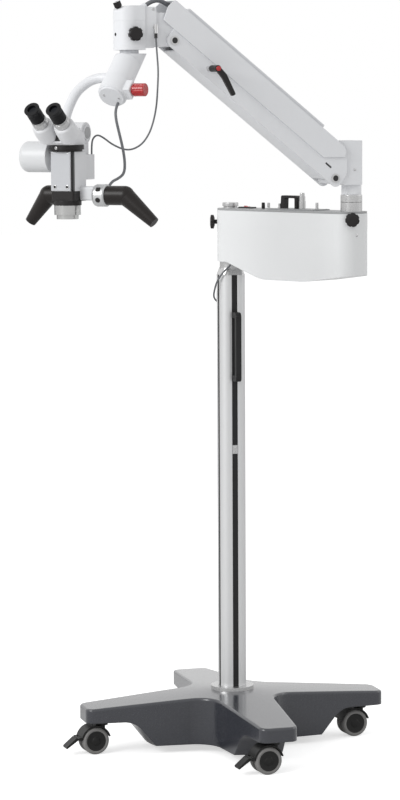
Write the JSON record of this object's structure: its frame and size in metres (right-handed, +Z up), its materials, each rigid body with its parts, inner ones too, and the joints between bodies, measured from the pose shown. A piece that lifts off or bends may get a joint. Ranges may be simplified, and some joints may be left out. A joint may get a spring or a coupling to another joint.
{
  "type": "surgical microscope",
  "caption": "Floor-stand surgical microscope: cross base on castors, square column, box arm, balanced parallelogram arm, inclined joint and a binocular optical head.",
  "frame": {"origin": "on the floor, on the column's axis", "axes": "+Z up along the column; -Y towards the front leg, +X towards the right leg as the picture shows them"},
  "size_m": [1.163, 1.1873, 2.0457],
  "materials": {
    "alloy": "bead-blasted, anodised",
    "arm_white": "white powder coat on aluminium",
    "base_paint": "fine textured dark blue-grey paint on cast iron",
    "cable_black": "black cable sheath",
    "castor_grey": "black moulded nylon",
    "castor_wheel": "grey thermoplastic rubber tread on black discs",
    "column_metal": "satin anodised aluminium",
    "dark_trim": "dark satin plastic",
    "grey_trim": "grey satin plastic",
    "housing_white": "white powder coat",
    "knob_black": "black moulded plastic",
    "pedal_red": "dark moulded plastic",
    "red": "red moulded plastic",
    "rubber_black": "black rubber",
    "steel": "turned, satin",
    "white_paint": "white powder coat"
  },
  "bodies": {
    "base": {"base_casting": "base_paint", "column_ring": "steel", "column_profile": "column_metal", "column_inserts": "dark_trim", "column_cap": "steel", "column_handle": "column_metal", "column_lead": "cable_black"},
    "castor_right": {"castor_fork_right": "castor_grey"},
    "wheels_right": {"castor_wheels_right": "castor_wheel"},
    "castor_rear": {"castor_fork_rear": "castor_grey"},
    "wheels_rear": {"castor_wheels_rear": "castor_wheel"},
    "castor_left": {"castor_fork_left": "castor_grey"},
    "wheels_left": {"castor_wheels_left": "castor_wheel"},
    "pedal_left": {"brake_pedal_left": "pedal_red"},
    "castor_front": {"castor_fork_front": "castor_grey"},
    "wheels_front": {"castor_wheels_front": "castor_wheel"},
    "pedal_front": {"brake_pedal_front": "pedal_red"},
    "housing": {"housing_shell": "housing_white", "housing_lid": "grey_trim", "lid_fittings": "steel", "lamp_handle": "knob_black", "pivot_sleeve": "steel"},
    "pivot_clamp": {"pivot_clamp_knob": "knob_black"},
    "column_clamp": {"column_clamp_knob": "knob_black"},
    "power_switch": {"power_switch": "red"},
    "light_knob": {"light_knob": "knob_black"},
    "fork": {"fork_block": "white_paint", "fork_ring": "steel"},
    "upper_beam": {"beam_bar": "alloy", "arm_cover": "arm_white", "arm_strip": "grey_trim"},
    "lower_link": {"lower_link": "arm_white", "link_pins": "steel"},
    "elbow": {"elbow_bracket": "white_paint", "elbow_block": "white_paint", "elbow_cap": "white_paint", "elbow_connector": "steel", "elbow_cable": "cable_black", "arm_hose": "rubber_black"},
    "arm_lock": {"clamp_lever": "knob_black"},
    "elbow_clamp": {"elbow_clamp_knob": "knob_black"},
    "swivel": {"swivel_block": "white_paint"},
    "incline": {"incline_cylinder": "white_paint", "carrier_arm": "white_paint", "head_cable": "cable_black"},
    "red_knob": {"red_knob": "red"},
    "head": {"head_shell": "white_paint", "head_band": "knob_black", "dovetail_ring": "steel", "side_drum": "white_paint", "tilt_hub": "white_paint", "binocular_body": "white_paint", "handle_mounts": "knob_black"},
    "objective": {"objective": "alloy"},
    "tube_left": {"prism_housing_left": "white_paint"},
    "eyepiece_left": {"eyepiece_left": "rubber_black"},
    "tube_right": {"prism_housing_right": "white_paint"},
    "eyepiece_right": {"eyepiece_right": "rubber_black"},
    "grip_right": {"grip_right": "rubber_black"},
    "grip_left": {"grip_left": "rubber_black"}
  },
  "joints": [
    {"name": "castor_right_swivel", "type": "hinge", "parent": "base", "child": "castor_right", "pos_m": [0.377, 0, 0.06], "axis": [0, 0, 1], "continuous": true},
    {"name": "castor_right_roll", "type": "hinge", "parent": "castor_right", "child": "wheels_right", "pos_m": [0.35306, -0.00167, 0.0375], "axis": [0.0698, -0.9976, 0], "continuous": true},
    {"name": "castor_rear_swivel", "type": "hinge", "parent": "base", "child": "castor_rear", "pos_m": [0, 0.377, 0.06], "axis": [0, 0, 1], "continuous": true},
    {"name": "castor_rear_roll", "type": "hinge", "parent": "castor_rear", "child": "wheels_rear", "pos_m": [-0.02394, 0.37533, 0.0375], "axis": [0.0698, -0.9976, 0], "continuous": true},
    {"name": "castor_left_swivel", "type": "hinge", "parent": "base", "child": "castor_left", "pos_m": [-0.377, 0, 0.06], "axis": [0, 0, 1], "continuous": true},
    {"name": "castor_left_roll", "type": "hinge", "parent": "castor_left", "child": "wheels_left", "pos_m": [-0.40094, -0.00167, 0.0375], "axis": [0.0698, -0.9976, 0], "continuous": true},
    {"name": "pedal_left_press", "type": "hinge", "parent": "castor_left", "child": "pedal_left", "pos_m": [-0.44783, -0.00495, 0.0455], "axis": [0.0698, -0.9976, 0], "range_deg": [0, 8]},
    {"name": "castor_front_swivel", "type": "hinge", "parent": "base", "child": "castor_front", "pos_m": [0, -0.377, 0.06], "axis": [0, 0, 1], "continuous": true},
    {"name": "castor_front_roll", "type": "hinge", "parent": "castor_front", "child": "wheels_front", "pos_m": [-0.02394, -0.37867, 0.0375], "axis": [0.0698, -0.9976, 0], "continuous": true},
    {"name": "pedal_front_press", "type": "hinge", "parent": "castor_front", "child": "pedal_front", "pos_m": [-0.07083, -0.38195, 0.0455], "axis": [0.0698, -0.9976, 0], "range_deg": [0, 8]},
    {"name": "housing_swivel", "type": "hinge", "parent": "base", "child": "housing", "pos_m": [0, 0, 1.43], "axis": [0, 0, 1], "range_deg": [-150, 150]},
    {"name": "pivot_clamp_turn", "type": "hinge", "parent": "housing", "child": "pivot_clamp", "pos_m": [0.20174, -0.42935, 1.474], "axis": [-0.284, -0.9588, 0], "range_deg": [-180, 180]},
    {"name": "column_clamp_turn", "type": "hinge", "parent": "housing", "child": "column_clamp", "pos_m": [-0.03548, 0.01051, 1.456], "axis": [-0.9588, 0.284, 0], "range_deg": [-180, 180]},
    {"name": "power_switch_rock", "type": "hinge", "parent": "housing", "child": "power_switch", "pos_m": [0.03078, -0.05668, 1.4975], "axis": [0.8788, 0.4772, 0], "range_deg": [-3, 3]},
    {"name": "light_knob_turn", "type": "hinge", "parent": "housing", "child": "light_knob", "pos_m": [0.05964, -0.10985, 1.53], "axis": [0, 0, 1], "range_deg": [0, 270]},
    {"name": "fork_swivel", "type": "hinge", "parent": "housing", "child": "fork", "pos_m": [0.21281, -0.39195, 1.5], "axis": [0, 0, 1], "range_deg": [-70, 150]},
    {"name": "arm_lift", "type": "hinge", "parent": "fork", "child": "upper_beam", "pos_m": [0.14655, -0.40186, 1.6285], "axis": [0.1478, -0.989, 0], "range_deg": [-2, 46]},
    {"name": "lower_link_lift", "type": "hinge", "parent": "fork", "child": "lower_link", "pos_m": [0.14655, -0.40186, 1.5835], "axis": [0.1478, -0.989, 0], "range_deg": [-2, 46]},
    {"name": "elbow_level", "type": "hinge", "parent": "upper_beam", "child": "elbow", "pos_m": [-0.3074, -0.4697, 1.984], "axis": [0.1478, -0.989, 0], "range_deg": [-46, 2], "deforming": ["arm_hose"]},
    {"name": "arm_lock_turn", "type": "hinge", "parent": "lower_link", "child": "arm_lock", "pos_m": [-0.20786, -0.49325, 1.86799], "axis": [0.1478, -0.989, 0], "range_deg": [-60, 30]},
    {"name": "elbow_clamp_turn", "type": "hinge", "parent": "elbow", "child": "elbow_clamp", "pos_m": [-0.41328, -0.52582, 1.955], "axis": [0.061, -0.9981, 0], "range_deg": [-180, 180]},
    {"name": "head_swivel", "type": "hinge", "parent": "elbow", "child": "swivel", "pos_m": [-0.41572, -0.48589, 1.89603], "axis": [0, 0, 1], "range_deg": [-90, 60], "deforming": ["elbow_cable"]},
    {"name": "incline_turn", "type": "hinge", "parent": "swivel", "child": "incline", "pos_m": [-0.41572, -0.48589, 1.89603], "axis": [-0.4777, -0.5213, -0.7071], "range_deg": [-30, 30]},
    {"name": "red_knob_turn", "type": "hinge", "parent": "incline", "child": "red_knob", "pos_m": [-0.42642, -0.58638, 1.81471], "axis": [0.7373, -0.6756, 0], "range_deg": [-180, 180]},
    {"name": "head_tilt", "type": "hinge", "parent": "incline", "child": "head", "pos_m": [-0.5681, -0.5633, 1.709], "axis": [0.7373, -0.6756, 0], "range_deg": [-20, 25], "deforming": ["head_cable"]},
    {"name": "objective_focus", "type": "hinge", "parent": "head", "child": "objective", "pos_m": [-0.61061, -0.60976, 1.51], "axis": [0, 0, 1], "range_deg": [-90, 90]},
    {"name": "tube_left_spread", "type": "slide", "parent": "head", "child": "tube_left", "axis": [-0.7373, 0.6756, 0], "range_m": [-0.0025, 0.005]},
    {"name": "eyepiece_left_turn", "type": "hinge", "parent": "tube_left", "child": "eyepiece_left", "pos_m": [-0.7165, -0.68092, 1.769], "axis": [0.5324, 0.581, -0.6157], "range_deg": [-60, 60]},
    {"name": "tube_right_spread", "type": "slide", "parent": "head", "child": "tube_right", "axis": [0.7373, -0.6756, 0], "range_m": [-0.0025, 0.005]},
    {"name": "eyepiece_right_turn", "type": "hinge", "parent": "tube_right", "child": "eyepiece_right", "pos_m": [-0.67227, -0.72145, 1.769], "axis": [0.5324, 0.581, -0.6157], "range_deg": [-60, 60]},
    {"name": "grip_right_turn", "type": "hinge", "parent": "head", "child": "grip_right", "pos_m": [-0.59372, -0.59133, 1.555], "axis": [0.7373, -0.6756, 0], "range_deg": [-40, 40]},
    {"name": "grip_left_turn", "type": "hinge", "parent": "head", "child": "grip_left", "pos_m": [-0.59372, -0.59133, 1.555], "axis": [0.7373, -0.6756, 0], "range_deg": [-40, 40]}
  ],
  "couplings": [
    {"joint": "lower_link_lift", "follows": "arm_lift", "ratio": 1},
    {"joint": "elbow_level", "follows": "arm_lift", "ratio": -1},
    {"joint": "tube_left_spread", "follows": "tube_right_spread", "ratio": 1}
  ]
}
